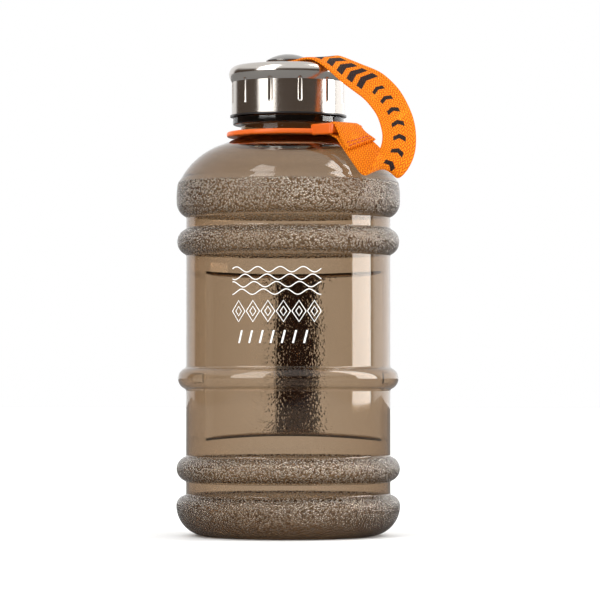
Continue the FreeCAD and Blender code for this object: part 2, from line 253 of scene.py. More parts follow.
# ---------------------------------------------------------------- finishes
@dataclass(frozen=True)
class SmokyPlastic:
    """Clear smoke-brown plastic, smooth, with a leather-like grain on some bands, and painted shade in the
    grain's hollows, over the grip, at the foot and on the dome.
    """

    grain_bands: tuple[Pair, ...]
    ior: float = 1.5
    tint: Triple = (0.485, 0.30, 0.06)
    density: float = 640.0
    gloss: float = 0.02
    grain_gloss: float = 0.1
    grain_size: float = 1.15
    grain_depth: float = 0.5
    grain_edge: float = 0.5
    dot_size: float = 1.7
    dot_depth: float = 0.7
    wander: Pair = (260.0, 1.5)
    # painted shade: a dark brown laid in the grain's hollows and over the dome
    painted_shade_tone: Triple = (0.42, 0.34, 0.26)
    recess_y: Pair = (8.0, 10.0)
    recess_z: Pair = (60.0, 149.0)
    dots_fade: Pair = (34.0, 12.0)
    grip_half: Pair = (13.5, 11.5)
    grip_y: Pair = (29.0, 32.0)
    # painted shade laid over the grip inside the recess
    grip_painted_shade: Triple = (0.3, 0.2, 0.12)
    # painted shade: the bottle is darker towards its foot
    foot_z: Pair = (26.0, 1.0)
    foot_painted_shade: Triple = (0.3, 0.22, 0.15)
    foot_shade_amount: float = 0.8
    # painted shade over the dome band
    dome_z: Pair = (197.0, 222.0)
    dome_shade_amount: float = 0.35
    seam_half: Pair = (0.3, 0.05)
    seam_depth: float = 0.1
    glint: float = 0.3
    glint_colour: Triple = (0.95, 0.84, 0.7)

    def make(self) -> bpy.types.Material:
        """Build the material."""
        made, g = new_material("smoky_plastic")
        where = g.where()
        x, y, z = g.split(where)
        skin = g.node("ShaderNodeAttribute", {"attribute_name": OUTER_SKIN}, out="Fac")
        banded: Socket | float = 0.0
        for low, high in self.grain_bands:
            banded = z.band(low * MM, high * MM, self.grain_edge * MM) + banded
        grained = skin * banded.step(0.0, 1.0)
        front = self._past(y, self.recess_y) * z.band(*(level * MM for level in self.recess_z), 2 * MM) * skin
        fingers = self._past(abs(x), self.dots_fade) * front
        grip = self._past(abs(x), self.grip_half) * self._past(y, self.grip_y) * front
        foot = self._past(z, self.foot_z) * skin
        seam = self._past(abs(x), self.seam_half) * skin * (1 - grained)
        moved = self._wandering(g, where)
        pebble = g.cells(moved, self.grain_size).step(0.75, 0.15)
        dots = g.cells(moved, self.dot_size).step(0.6, 0.1)
        height = pebble * grained + dots * fingers * self.dot_depth + seam * self.seam_depth
        relief = g.bump(height, self.grain_depth * MM)
        painted_shade_tone = rgba(*self.painted_shade_tone)
        # painted shade: the grain's hollows take the dark brown, its crests stay clear
        tone = g.mix(grained, grey(1), g.mix(pebble.step(0.1, 0.55), painted_shade_tone, grey(1)))
        # painted shade: the grip's column in the recess is darkened in its base colour
        tone = g.mix(grip, tone, rgba(*self.grip_painted_shade))
        # painted shade: darker towards the bottom of the foot
        tone = g.mix(foot * self.foot_shade_amount, tone, rgba(*self.foot_painted_shade))
        # painted shade: the dome is darkened towards the shade colour
        dome = z.band(*(level * MM for level in self.dome_z), 3 * MM) * skin
        tone = g.mix(dome * self.dome_shade_amount, tone, painted_shade_tone)
        clear = g.principled(
            Base_Color=tone,
            Roughness=self.gloss + grained * self.grain_gloss,
            IOR=self.ior,
            Transmission_Weight=1.0,
            Normal=relief,
        )
        shiny = g.principled(Base_Color=rgba(*self.glint_colour), Metallic=1.0, Roughness=0.3, Normal=relief)
        crest = pebble.step(0.3, 0.8) * grained * (1 - foot * 0.6)
        smoke = g.node("ShaderNodeVolumeAbsorption", None, Color=rgba(*self.tint), Density=self.density)
        g.finish(g.blend(crest * self.glint, clear, shiny), smoke)
        return made

    @staticmethod
    def _past(value: Socket, limits: Pair) -> Socket:
        """A smooth step between two limits in millimetres."""
        return value.step(limits[0] * MM, limits[1] * MM)

    def _wandering(self, g: Graph, where: Socket) -> Socket:
        """The point moved a little at random, so that cells aren't even.

        Args:
            g: the material's graph.
            where: the point.

        Returns:
            The moved point.
        """
        scale, reach = self.wander
        cloud = g.node("ShaderNodeTexNoise", None, Vector=where, Scale=scale, out="Color")
        shift = g.node("ShaderNodeVectorMath", {"operation": "SCALE"}, cloud, Scale=reach * MM)
        return g.node("ShaderNodeVectorMath", {"operation": "ADD"}, where, shift)


@dataclass(frozen=True)
class Steel:
    """Stainless steel with fine turned lines."""

    name: str
    colour: Triple = (0.62, 0.6, 0.58)
    roughness: float = 0.16
    line_depth: float = 0.01
    line_pitch: float = 60.0
    line_gloss: float = 0.1
    cloud_gloss: float = 0.08

    def make(self) -> bpy.types.Material:
        """Build the material."""
        made, g = new_material(self.name)
        where = g.where()
        x, y, z = g.split(where)
        square = x * x + y * y
        radius = square.maths("SQRT", square)
        lines = g.noise(g.vector(radius * self.line_pitch, 0.0, z * self.line_pitch), 120.0, 3.0)
        cloud = g.noise(where, 45.0, 3.0)
        mottle = (lines - 0.5) * self.line_gloss + (cloud - 0.5) * self.cloud_gloss
        shader = g.principled(
            Base_Color=rgba(*self.colour),
            Metallic=1.0,
            Roughness=mottle + self.roughness,
            Normal=g.bump(lines, self.line_depth * MM),
        )
        g.finish(shader)
        return made


@dataclass(frozen=True)
class Moulded:
    """Solid coloured plastic, silicone, thread or ink with a faint mottle."""

    name: str
    colour: Triple
    roughness: float = 0.3
    coat: float = 0.0
    shade: float = 0.8
    mottle: float = 0.12

    def make(self) -> bpy.types.Material:
        """Build the material."""
        made, g = new_material(self.name)
        where = g.where()
        cloud = g.noise(where, 140.0, 4.0)
        dark = tuple(part * self.shade for part in self.colour)
        shader = g.principled(
            Base_Color=g.mix(cloud, rgba(*dark), rgba(*self.colour)),
            Roughness=(cloud - 0.5) * self.mottle + self.roughness,
            Coat_Weight=self.coat,
            Coat_Roughness=0.08,
            Normal=g.bump(g.noise(where, 1500.0), 0.01 * MM),
        )
        g.finish(shader)
        return made


# ---------------------------------------------------------------- the workbench
class Way(Enum):
    """What a tool solid does to the solid that it is used on."""

    CUT = "DIFFERENCE"
    JOIN = "UNION"


def arc(centre: Pair, radius: float, start: float, end: float, chord: float = 1.2) -> list[Pair]:
    """Points on an arc.

    Args:
        centre: its centre.
        radius: its radius.
        start: the angle it starts at, in radians from the first axis.
        end: the angle it ends at.
        chord: the longest step between points.

    Returns:
        The points, both ends included.
    """
    count = max(2, math.ceil(abs(end - start) * radius / chord))
    turns = [start + (end - start) * i / count for i in range(count + 1)]
    return [(centre[0] + radius * math.cos(turn), centre[1] + radius * math.sin(turn)) for turn in turns]


class Bench:
    """Shapes solids with Blender's own tools, one object at a time."""

    @staticmethod
    def take(obj: bpy.types.Object) -> None:
        """Make an object the active and the only selected one.

        Args:
            obj: the object.
        """
        bpy.ops.object.select_all(action="DESELECT")
        obj.select_set(True)
        bpy.context.view_layer.objects.active = obj

    @classmethod
    def chain(cls, name: str, points: Sequence[Triple]) -> bpy.types.Object:
        """A chain of edges through points in millimetres, left in edit mode.

        Args:
            name: the new object's name.
            points: the chain's points.

        Returns:
            The object, with all of the chain selected.
        """
        bpy.ops.object.select_all(action="DESELECT")
        bpy.ops.mesh.primitive_plane_add(size=MM)
        obj = bpy.context.active_object
        obj.name = name
        bpy.ops.object.mode_set(mode="EDIT")
        bpy.ops.mesh.merge(type="CENTER")
        here = Vector(points[0]) * MM
        bpy.ops.transform.translate(value=here)
        for point in points[1:]:
            there = Vector(point) * MM
            bpy.ops.mesh.extrude_region_move(TRANSFORM_OT_translate={"value": there - here})
            here = there
        bpy.ops.mesh.select_all(action="SELECT")
        return obj

    @classmethod
    def turned(cls, name: str, outline: Sequence[Pair], steps: int = 192) -> bpy.types.Object:
        """A solid of revolution about the vertical axis.

        Args:
            name: the new object's name.
            outline: radius and height pairs; the ends lie on the axis, or meet for a ring.
            steps: the number of facets round it.

        Returns:
            The closed solid.
        """
        obj = cls.chain(name, [(radius, 0.0, height) for radius, height in outline])
        bpy.ops.mesh.spin(steps=steps, angle=2 * math.pi, center=(0, 0, 0), axis=(0, 0, 1))
        cls.close()
        return obj

    @classmethod
    def upright(cls, name: str, outline: Sequence[Pair], low: float, high: float) -> bpy.types.Object:
        """A prism that stands on a plan outline.

        Args:
            name: the new object's name.
            outline: the plan, as X and Y pairs.
            low: the height of its foot.
            high: the height of its top.

        Returns:
            The closed solid.
        """
        obj = cls.chain(name, [(x, y, low) for x, y in outline])
        bpy.ops.mesh.edge_face_add()
        bpy.ops.mesh.extrude_region_move(TRANSFORM_OT_translate={"value": (0, 0, (high - low) * MM)})
        cls.close()
        return obj

    @staticmethod
    def close() -> None:
        """Merge what meets, face all of the solid outwards, and leave edit mode."""
        bpy.ops.mesh.select_all(action="SELECT")
        bpy.ops.mesh.remove_doubles(threshold=0.002 * MM)
        bpy.ops.mesh.normals_make_consistent(inside=False)
        bpy.ops.object.mode_set(mode="OBJECT")

    @classmethod
    def use(cls, obj: bpy.types.Object, way: Way, tool: bpy.types.Object) -> bpy.types.Object:
        """Cut or join obj with a tool solid, which is used up.

        Args:
            obj: the solid that is worked on.
            way: what the tool does.
            tool: the tool solid.

        Returns:
            obj.
        """
        cls.take(obj)
        modifier = obj.modifiers.new("tool", "BOOLEAN")
        modifier.operation = way.value
        modifier.solver = "EXACT"
        modifier.object = tool
        bpy.ops.object.modifier_apply(modifier=modifier.name)
        bpy.data.objects.remove(tool)
        return obj

    @classmethod
    def smooth(cls, obj: bpy.types.Object, angle: float = 30.0) -> None:
        """Shade an object smooth, with its broad faces kept true.

        Args:
            obj: the object.
            angle: where faces meet at more than this, in degrees, the edge stays sharp.
        """
        cls.take(obj)
        bpy.ops.object.shade_smooth_by_angle(angle=math.radians(angle))
        modifier = obj.modifiers.new("flatten", "WEIGHTED_NORMAL")
        modifier.keep_sharp = True
        bpy.ops.object.modifier_apply(modifier=modifier.name)

    @classmethod
    def round_edges(cls, obj: bpy.types.Object, width: float, segments: int, angle: float) -> None:
        """Bevel an object's sharp edges.

        Args:
            obj: the object.
            width: the bevel's width in millimetres.
            segments: how many faces it has across.
            angle: edges sharper than this, in degrees, are bevelled.
        """
        cls.take(obj)
        modifier = obj.modifiers.new("round", "BEVEL")
        modifier.width = width * MM
        modifier.segments = segments
        modifier.limit_method = "ANGLE"
        modifier.angle_limit = math.radians(angle)
        modifier.harden_normals = False
        bpy.ops.object.modifier_apply(modifier=modifier.name)

    @classmethod
    def copies(cls, obj: bpy.types.Object, count: int, first: float) -> bpy.types.Object:
        """Copies of obj set evenly about the vertical axis and joined as one object.

        Args:
            obj: what is copied, which is used up.
            count: how many there are.
            first: how far the first is turned, in degrees.

        Returns:
            The joined copies.
        """
        made = []
        for i in range(count):
            copy = obj.copy()
            copy.data = obj.data.copy()
            bpy.context.collection.objects.link(copy)
            copy.data.transform(Matrix.Rotation(math.radians(first + i * 360 / count), 4, "Z"))
            made.append(copy)
        bpy.data.objects.remove(obj)
        return cls.together(made)

    @classmethod
    def together(cls, pieces: Sequence[bpy.types.Object]) -> bpy.types.Object:
        """Join pieces into the first of them.

        Args:
            pieces: what is joined, of which the others are used up.

        Returns:
            The joined object.
        """
        cls.take(pieces[0])
        for piece in pieces:
            piece.select_set(True)
        bpy.ops.object.join()
        return pieces[0]

    @staticmethod
    def points(obj: bpy.types.Object) -> np.ndarray:
        """The places of an object's vertices.

        Args:
            obj: the object.

        Returns:
            An array with a row for each vertex.
        """
        flat = np.empty(len(obj.data.vertices) * 3)
        obj.data.vertices.foreach_get("co", flat)
        return flat.reshape(-1, 3)


def dress(obj: bpy.types.Object, finish: bpy.types.Material) -> None:
    """Give obj one material all over."""
    obj.data.materials.clear()
    obj.data.materials.append(finish)


def circle(radius: float) -> list[Pair]:
    """A small round hole's plan about the origin."""
    return arc((0, 0), radius, 0, FULL_TURN, 0.7)[:-1]


# ---------------------------------------------------------------- the bottle
@dataclass
class Bottle:
    """The blown bottle: rings round the body, a finger recess with a hollow grip, and a neck."""

    wall: float = 1.5
    body_r: float = 59.2
    ring_r: float = 64.8
    push_up: float = 6.0
    foot_in_r: float = 40.0
    foot_low_r: float = 17.5
    foot_top_r: float = 6.0
    beads: tuple[Triple, ...] = ((38.7, 64.7, 7.4), (91.0, 63.9, 6.64), (170.0, 64.4, 8.0))
    blend_r: float = 1.2
    shoulder_z: Pair = (193.0, 196.0)
    shoulder_low_r: float = 9.56
    shoulder_high_r: float = 40.6
    grain_top: float = 204.5
    step_rise: float = 2.5
    dome: Triple = (25.73, 187.1, 41.4)
    dome_end_r: float = 37.1
    neck_r: float = 27.4
    bore_r: float = 25.4
    collar: Triple = (32.2, 237.7, 242.3)
    collar_edge: float = 0.8
    lip: float = 0.5
    thread: Triple = (28.4, 29.8, 250.0)
    thread_turns: float = 2.25
    pitch: float = 4.0
    rim_z: float = 266.5
    recess_z: Pair = (58.0, 151.0)
    recess_front: float = 12.0
    recess_curve: float = 88.0
    mouth_r: float = 5.0
    recess_corner: float = 1.9
    recess_arch: Pair = (3.2, 2.3)
    arch_half: float = 52.0
    recess_thinning: float = 0.5
    grip_width: float = 25.0
    grip_y: Pair = (33.0, 58.0)
    grip_corner: float = 8.0
    grip_wall: float = 4.2
    grip_flare: float = 5.0
    grain_bands: tuple[Pair, ...] = ((1.0, 24.0), (31.6, 45.8), (162.3, 177.7), (184.5, 204.3))

    def lower_outline(self, skin: float) -> list[Pair]:
        """The outline from the middle of the foot to the top of the cone.

        Args:
            skin: how far the outline is moved in.

        Returns:
            Radius and height pairs.
        """
        wall = self.body_r - skin
        hollow_r = (self.foot_in_r**2 + self.push_up**2) / (2 * self.push_up)
        slant = math.asin(self.foot_in_r / hollow_r)
        points = arc((0, self.push_up + skin - hollow_r), hollow_r, QUARTER, QUARTER - slant, 3.0)
        foot_centre = (self.ring_r - self.foot_low_r, self.foot_low_r)
        points += arc(foot_centre, self.foot_low_r - skin, -QUARTER, 0)
        top_centre = (self.ring_r - self.foot_top_r, self.foot_low_r)
        points += self._from_ring(top_centre, self.foot_top_r - skin, wall)
        for height, radius, rounding in self.beads:
            upper = self._from_ring((radius - rounding, height), rounding - skin, wall)
            lower = [(r, 2 * height - z) for r, z in reversed(upper)]
            points += lower + upper[1:]
        low_centre = (self.ring_r - self.shoulder_low_r, self.shoulder_z[0])
        upper = self._from_ring(low_centre, self.shoulder_low_r - skin, wall)
        points += [(r, 2 * low_centre[1] - z) for r, z in reversed(upper)]
        high_r = self.shoulder_high_r - skin
        high_centre = (self.ring_r - self.shoulder_high_r, self.shoulder_z[1])
        points += arc(high_centre, high_r, 0, math.asin((self.grain_top - high_centre[1]) / high_r))
        centre_r, centre_z, dome_r = self.dome
        slope = math.asin((self.dome_end_r - centre_r) / dome_r)
        low = math.asin((self.grain_top + self.step_rise - centre_z) / (dome_r - skin))
        points += arc((centre_r, centre_z), dome_r - skin, low, QUARTER - slope)
        end_r, end_z = points[-1]
        inner = self.bore_r if skin else self.neck_r
        points.append((inner, end_z + (end_r - inner) * math.tan(slope)))
        return points

    def _from_ring(self, centre: Pair, rounding: float, wall: float) -> list[Pair]:
        """The arc of a ring from its widest point up, and the small fillet onto the wall.

        Args:
            centre: the centre of the ring's rounding.
            rounding: its radius.
            wall: the radius of the wall.

        Returns:
            Radius and height pairs.
        """
        fillet = self.blend_r + (self.body_r - wall)
        across = wall + fillet - centre[0]
        rise = math.sqrt((rounding + fillet) ** 2 - across**2)
        turn = math.atan2(rise, across)
        points = arc(centre, rounding, 0.0, turn)
        fillet_centre = (centre[0] + across, centre[1] + rise)
        return points + arc(fillet_centre, fillet, turn - math.pi, -math.pi, 0.6)[1:]

    def outer_outline(self) -> list[Pair]:
        """The whole outside, closed over the rim on the axis."""
        collar_r, collar_low, collar_high = self.collar
        root = self.thread[0]
        points = self.lower_outline(0)
        neck_r, cone_top = points.pop()
        points += arc((neck_r + 3, cone_top + 3.6), 3, -QUARTER - 0.29, -math.pi, 0.6)
        edge, lip = self.collar_edge, self.lip
        points += [(neck_r, collar_low), (collar_r - edge, collar_low)]
        points += arc((collar_r - edge, collar_low + edge), edge, -QUARTER, 0, 0.4)[1:]
        points += arc((collar_r - edge, collar_high - edge), edge, 0, QUARTER, 0.4)
        points += [(root, collar_high)]
        points += arc((root - lip, self.rim_z - lip), lip, 0, QUARTER, 0.3)
        return points + [(0.0, self.rim_z)]

    def inner_outline(self) -> list[Pair]:
        """The inside, open past the rim."""
        return self.lower_outline(self.wall) + [(self.bore_r, self.rim_z + 1), (0.0, self.rim_z + 1)]

    def recess(self, skin: float) -> bpy.types.Object:
        """The space behind the recess's front wall, with its grip not yet taken off.

        Args:
            skin: how far the space is grown.

        Returns:
            The solid that is cut away.
        """
        curve_r, round_r = self.recess_curve + skin, self.mouth_r - skin
        curve_y = self.recess_front + self.recess_curve
        wall_r = self.body_r - skin
        to_curve, to_wall = curve_r + round_r, wall_r - round_r
        lip_y = (to_wall**2 - to_curve**2 + curve_y**2) / (2 * curve_y)
        lip = (math.sqrt(to_wall**2 - lip_y**2), lip_y)
        to_centre = math.atan2(curve_y - lip_y, -lip[0])
        side = math.atan2(lip_y, lip[0])
        right = arc((0, curve_y), curve_r, -QUARTER, to_centre - math.pi, 2.0)
        right += arc(lip, round_r, to_centre, side, 0.7)[1:]
        end_x, end_y = right[-1]
        right += [(end_x + 17.0, end_y - 10.5), (end_x + 17.0, 90.0)]
        left = [(-x, y) for x, y in reversed(right)]
        thin = skin * self.recess_thinning
        low, high = self.recess_z[0] - thin, self.recess_z[1] + thin
        space = Bench.upright("recess", left + right[1:], low, high)
        self._round_corners(space, right[:-1], (low, high), self.recess_corner - skin)
        self._arch(space, (low + high) / 2)
        return space

    def _arch(self, space: bpy.types.Object, middle: float) -> None:
        """Let the recess's floor fall and its ceiling rise towards its two ends.

        Args:
            space: the recess's solid.
            middle: the height between its floor and its ceiling.
        """
        Bench.take(space)
        bpy.ops.object.mode_set(mode="EDIT")
        for x in range(-56, 57, 4):
            bpy.ops.mesh.select_all(action="SELECT")
            bpy.ops.mesh.bisect(plane_co=(x * MM, 0, 0), plane_no=(1, 0, 0))
        bpy.ops.object.mode_set(mode="OBJECT")
        fall, rise = self.recess_arch
        for vertex in space.data.vertices:
            bend = rise if vertex.co.z > middle * MM else -fall
            vertex.co.z += bend * MM * min(abs(vertex.co.x) / MM / self.arch_half, 1.1) ** 2

    @staticmethod
    def _round_corners(
        space: bpy.types.Object, front: Sequence[Pair], levels: Pair, width: float
    ) -> None:
        """Round the recess's front edges along its floor and ceiling.

        Args:
            space: the recess's solid.
            front: the plan of its front.
            levels: the heights of its floor and its ceiling.
            width: the rounding's width in millimetres.
        """
        line = {(round(abs(x), 3), round(y, 3)) for x, y in front}
        Bench.take(space)
        bpy.ops.object.mode_set(mode="EDIT")
        bpy.ops.mesh.select_mode(type="EDGE")
        bpy.ops.mesh.select_all(action="DESELECT")
        shape = bmesh.from_edit_mesh(space.data)
        for edge in shape.edges:
            ends = [v.co / MM for v in edge.verts]
            level = abs(ends[0].z - ends[1].z) < 0.01
            level = level and min(abs(ends[0].z - height) for height in levels) < 0.01
            edge.select = level and all((round(abs(e.x), 3), round(e.y, 3)) in line for e in ends)
        bmesh.update_edit_mesh(space.data)
        bpy.ops.mesh.bevel(offset=width * MM, segments=6, profile=0.5, affect="EDGES")
        bpy.ops.mesh.select_mode(type="VERT")
        Bench.close()

    def grip(self, inset: float, low: float, high: float, flare: float = 0.0) -> bpy.types.Object:
        """The grip's column, or its hollow.

        Args:
            inset: how far it is moved in, which is 0 for the column.
            low: the height of its foot.
            high: the height of its top.
            flare: how far its two ends spread.

        Returns:
            The solid.
        """
        half, corner = self.grip_width / 2 - inset, self.grip_corner - inset
        front, back = self.grip_y[0] + inset, self.grip_y[1] - inset
        plan: list[Pair] = []
        for turn, x, y in ((0, 1, 1), (1, -1, 1), (2, -1, -1), (3, 1, -1)):
            centre = (x * (half - corner), (back - corner) if y > 0 else (front + corner))
            plan += arc(centre, corner, turn * QUARTER, (turn + 1) * QUARTER, 1.0)
        if not flare:
            return Bench.upright("grip_space", plan, low, high)
        middle = (front + back) / 2
        steps = [i * math.pi / 16 for i in range(1, 9)]
        floor, ceiling = self.recess_z
        levels = [(low, flare), (floor, flare)]
        levels += [(floor + flare * (1 - math.cos(a)), flare * (1 - math.sin(a))) for a in steps]
        levels += [(floor + ceiling - z, out) for z, out in reversed(levels[1:])]
        levels.append((high, flare))
        first_z, first_out = levels[0]
        obj = Bench.chain("grip_column", [(x, y, first_z) for x, y in plan])
        bpy.ops.mesh.edge_face_add()
        about = Vector((0, middle * MM, 0))
        span = (half, (back - front) / 2)
        self._grow(span, 0.0, first_out, about)
        for (z0, out0), (z1, out1) in zip(levels, levels[1:]):
            bpy.ops.mesh.extrude_region_move(TRANSFORM_OT_translate={"value": (0, 0, (z1 - z0) * MM)})
            self._grow(span, out0, out1, about)
        Bench.close()
        return obj

    @staticmethod
    def _grow(span: Pair, old: float, new: float, about: Vector) -> None:
        """Widen the selected outline from old to new millimetres outside its first size."""
        factors = [(size + new) / (size + old) for size in span]
        bpy.ops.transform.resize(value=(*factors, 1.0), center_override=about)

    def thread_ridge(self) -> bpy.types.Object:
        """The screw thread's ridge, wound up from its profile."""
        root, crest, low = self.thread
        steps = 96  # to one turn
        profile = [(root - 0.3, -0.9), (crest, -0.45), (crest, 0.45), (root - 0.3, 0.9)]
        obj = Bench.chain("thread", [(r, 0.0, low + z) for r, z in profile])
        bpy.ops.mesh.edge_face_add()
        lift = (0, 0, self.pitch * MM / steps)
        for _ in range(round(steps * self.thread_turns)):
            bpy.ops.mesh.extrude_region_move(TRANSFORM_OT_translate={"value": lift})
            bpy.ops.transform.rotate(value=-FULL_TURN / steps, orient_axis="Z", center_override=(0, 0, 0))
        Bench.close()
        return obj

    def build(self) -> bpy.types.Object:
        """Model the bottle and tag its outer skin."""
        floor, ceiling = self.recess_z
        outer = Bench.turned("bottle_body", self.outer_outline())
        inner = Bench.turned("bottle_hollow", self.inner_outline())
        column = self.grip(0.0, floor - 2, ceiling + 2, self.grip_flare)
        hollow = self.grip(self.grip_wall, floor - 6, ceiling + 6)
        Bench.use(outer, Way.CUT, Bench.use(self.recess(0), Way.CUT, column))
        Bench.use(inner, Way.CUT, Bench.use(self.recess(self.wall), Way.CUT, hollow))
        Bench.use(outer, Way.CUT, inner)
        Bench.use(outer, Way.JOIN, self.thread_ridge())
        Bench.smooth(outer, 32)
        self.tag_outer_skin(outer)
        dress(outer, SmokyPlastic(self.grain_bands).make())
        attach(outer, "bottle")
        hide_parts("bottle")
        return outer

    def tag_outer_skin(self, obj: bpy.types.Object) -> None:
        """Write on each face whether it lies on the outside: 1 there, and 0 inside.

        Args:
            obj: the bottle.
        """
        outline = np.array(self.outer_outline())
        start, run = outline[:-1], np.diff(outline, axis=0)
        long = np.maximum((run**2).sum(1), 1e-9)
        centres = np.array([p.center[:] for p in obj.data.polygons]) / MM
        flat = np.stack([np.hypot(centres[:, 0], centres[:, 1]), centres[:, 2]], 1)
        along = np.clip(((flat[:, None] - start) * run).sum(2) / long, 0, 1)
        gap = np.sqrt(((start + along[:, :, None] * run - flat[:, None]) ** 2).sum(2)).min(1)
        on_wall = gap < 0.3
        x, y, z = np.abs(centres[:, 0]), centres[:, 1], centres[:, 2]
        in_recess = (z > self.recess_z[0] - 1) & (z < self.recess_z[1] + 1)
        half, corner = self.grip_width / 2, self.grip_corner
        near, far = self.grip_y
        reach = np.maximum(x - half + corner, 0)
        groove_painted_shade = np.maximum(np.abs(y - (near + far) / 2) - (far - near) / 2 + corner, 0)
        on_grip = (np.hypot(reach, groove_painted_shade) > corner - 1) & (y > near - 1) & (x < half + 8) & in_recess
        curve_y = self.recess_front + self.recess_curve
        off_front = np.abs(np.hypot(x, y - curve_y) - self.recess_curve)
        on_front = (off_front < 0.4) & (x < 45) & in_recess
        layer = obj.data.attributes.new(OUTER_SKIN, "FLOAT", "FACE")
        layer.data.foreach_set("value", (on_wall | on_grip | on_front).astype(float))


# ---------------------------------------------------------------- neck ring and strap
def to_lug(obj: bpy.types.Object) -> bpy.types.Object:
    """Turn a piece made along +X to the side of the neck where the strap's lug is."""
    obj.data.transform(Matrix.Rotation(LUG_TURN, 4, "Z"))
    return obj


@dataclass
class NeckRing:
    """The flat ring round the neck, whose two ears hold the bar that the strap goes round."""

    outer_r: float = 35.7
    inner_r: float = 28.2
    height: Pair = (230.7, 233.7)
    corner: float = 1.1
    inner_corner: float = 0.5
    ear_in: float = 10.25
    ear_thick: float = 3.2
    ear_out: Pair = (31.0, 47.1)
    ear_height: Pair = (229.9, 236.3)
    bar: Triple = (44.5, 233.0, 2.2)

    def build(self) -> bpy.types.Object:
        """Model the ring with its lug."""
        low, high = self.height
        wide, slim = self.corner, self.inner_corner
        outline = arc((self.outer_r - wide, low + wide), wide, -QUARTER, 0, 0.4)
        outline += arc((self.outer_r - wide, high - wide), wide, 0, QUARTER, 0.4)
        outline += arc((self.inner_r + slim, high - slim), slim, QUARTER, math.pi, 0.4)
        outline += arc((self.inner_r + slim, low + slim), slim, math.pi, 3 * QUARTER, 0.4)
        ring = Bench.turned("neck_ring_body", outline + outline[:1], 144)
        for side in (1, -1):
            Bench.use(ring, Way.JOIN, to_lug(self.ear(side)))
        Bench.use(ring, Way.JOIN, to_lug(self.crossbar()))
        Bench.round_edges(ring, 0.25, 2, 40)
        Bench.smooth(ring, 35)
        dress(ring, Moulded("orange_ring_plastic", (0.74, 0.12, 0.003), 0.35, 0.0).make())
        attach(ring, "ring")
        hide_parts("neck_ring")
        return ring

    def ear(self, side: int) -> bpy.types.Object:
        """One rounded ear.

        Args:
            side: 1 or -1, for the side of the strap.

        Returns:
            The ear.
        """
        near, far = self.ear_out
        a, b = sorted((side * self.ear_in, side * (self.ear_in + self.ear_thick)))
        ear = Bench.upright("ear", [(near, a), (far, a), (far, b), (near, b)], *self.ear_height)
        Bench.round_edges(ear, 1.2, 4, 60)
        return ear

    def crossbar(self) -> bpy.types.Object:
        """The bar between the ears, with rounded ends inside them."""
        out, height, radius = self.bar
        bpy.ops.object.select_all(action="DESELECT")
        bpy.ops.mesh.primitive_cylinder_add(
            vertices=32, radius=radius * MM, depth=2 * (self.ear_in + 1.5) * MM, rotation=(QUARTER, 0, 0)
        )
        bar = bpy.context.active_object
        bpy.ops.object.transform_apply(rotation=True)
        bar.data.transform(Matrix.Translation((out * MM, 0, height * MM)))
        Bench.round_edges(bar, 0.5, 3, 60)
        return bar


@dataclass(frozen=True)
class Webbing:
    """Coarse herringbone webbing, with painted shade in the weave's grooves and rows of plain dark arrow
    marks printed on one face.
    """

    rib: float = 1.55
    pick: float = 1.9
    bright: Triple = (0.88, 0.262, 0.004)
    # painted shade for the weave's grooves
    groove_painted_shade: Triple = (0.5, 0.075, 0.003)
    worn: Triple = (1.0, 0.42, 0.02)
    ink: Triple = (0.012, 0.011, 0.012)
    relief: float = 0.32
    slant: float = 0.45
    marks: tuple[tuple[float, ...], ...] = (  # start, end, pitch, half width, stroke
        (17.0, 77.0, 8.4, 6.6, 0.58),
        (80.0, 138.0, 8.3, 3.9, 0.32),
    )

    def make(self) -> bpy.types.Material:
        """Build the material."""
        made, g = new_material("orange_webbing")
        cloth = g.node("ShaderNodeAttribute", {"attribute_name": CLOTH}, out="Vector")
        across, along, side = g.split(cloth)
        column = across * (1 / (self.rib * MM))
        in_column = column.maths("FRACT", column)
        half_count = (column - in_column) * 0.5 + 100.0
        odd = half_count.maths("MODULO", half_count, 1.0).step(0.2, 0.3)
        lean = (odd * 2 - 1) * (in_column - 0.5) * 0.9
        phase = along * (1 / (self.pick * MM)) + lean + odd * 0.5
        rib = phase.maths("SINE", phase * FULL_TURN) * 0.5 + 0.5
        crown = in_column * (1 - in_column) * 4.0
        weave = rib * (crown.maths("POWER", crown, 0.6))
        fibre_place = g.vector(across * 2.5, along * 0.7 + in_column * 0.0004, side * 0.01)
        fibre = g.noise(fibre_place, 2600.0, 2.0)
        height = weave + fibre * 0.25
        wear = g.noise(g.where(), 90.0, 3.0)
        # painted shade and light: the weave's grooves take the dark orange and its crests the bright one
        lit = (weave * 0.9 + fibre * 0.5 - 0.1).step(0.05, 0.85)
        plain = g.mix(lit, rgba(*self.groove_painted_shade), rgba(*self.bright))
        worn = g.mix(wear.step(0.6, 0.8) * 0.35, plain, rgba(*self.worn))
        printed: Socket | float = 0.0
        for start, end, pitch, half, stroke in self.marks:
            place = (along - start * MM - abs(across) * self.slant) * (1 / (pitch * MM))
            stripe = place.maths("FRACT", place).band(0.12, 0.12 + stroke, 0.03)
            stripe = stripe * along.band(start * MM, end * MM, 0.3 * MM)
            printed = stripe * abs(across).step(half * MM, (half - 0.5) * MM) + printed
        ink = printed * side.step(0.4, 0.6) * (weave * 0.6 + 0.62).step(0.35, 0.7)
        shader = g.principled(
            Base_Color=g.mix(ink, worn, rgba(*self.ink)),
            Roughness=0.7 - weave * 0.15,
            Specular_IOR_Level=0.12,
            Normal=g.bump(height, self.relief * MM),
        )
        g.finish(shader)
        return made


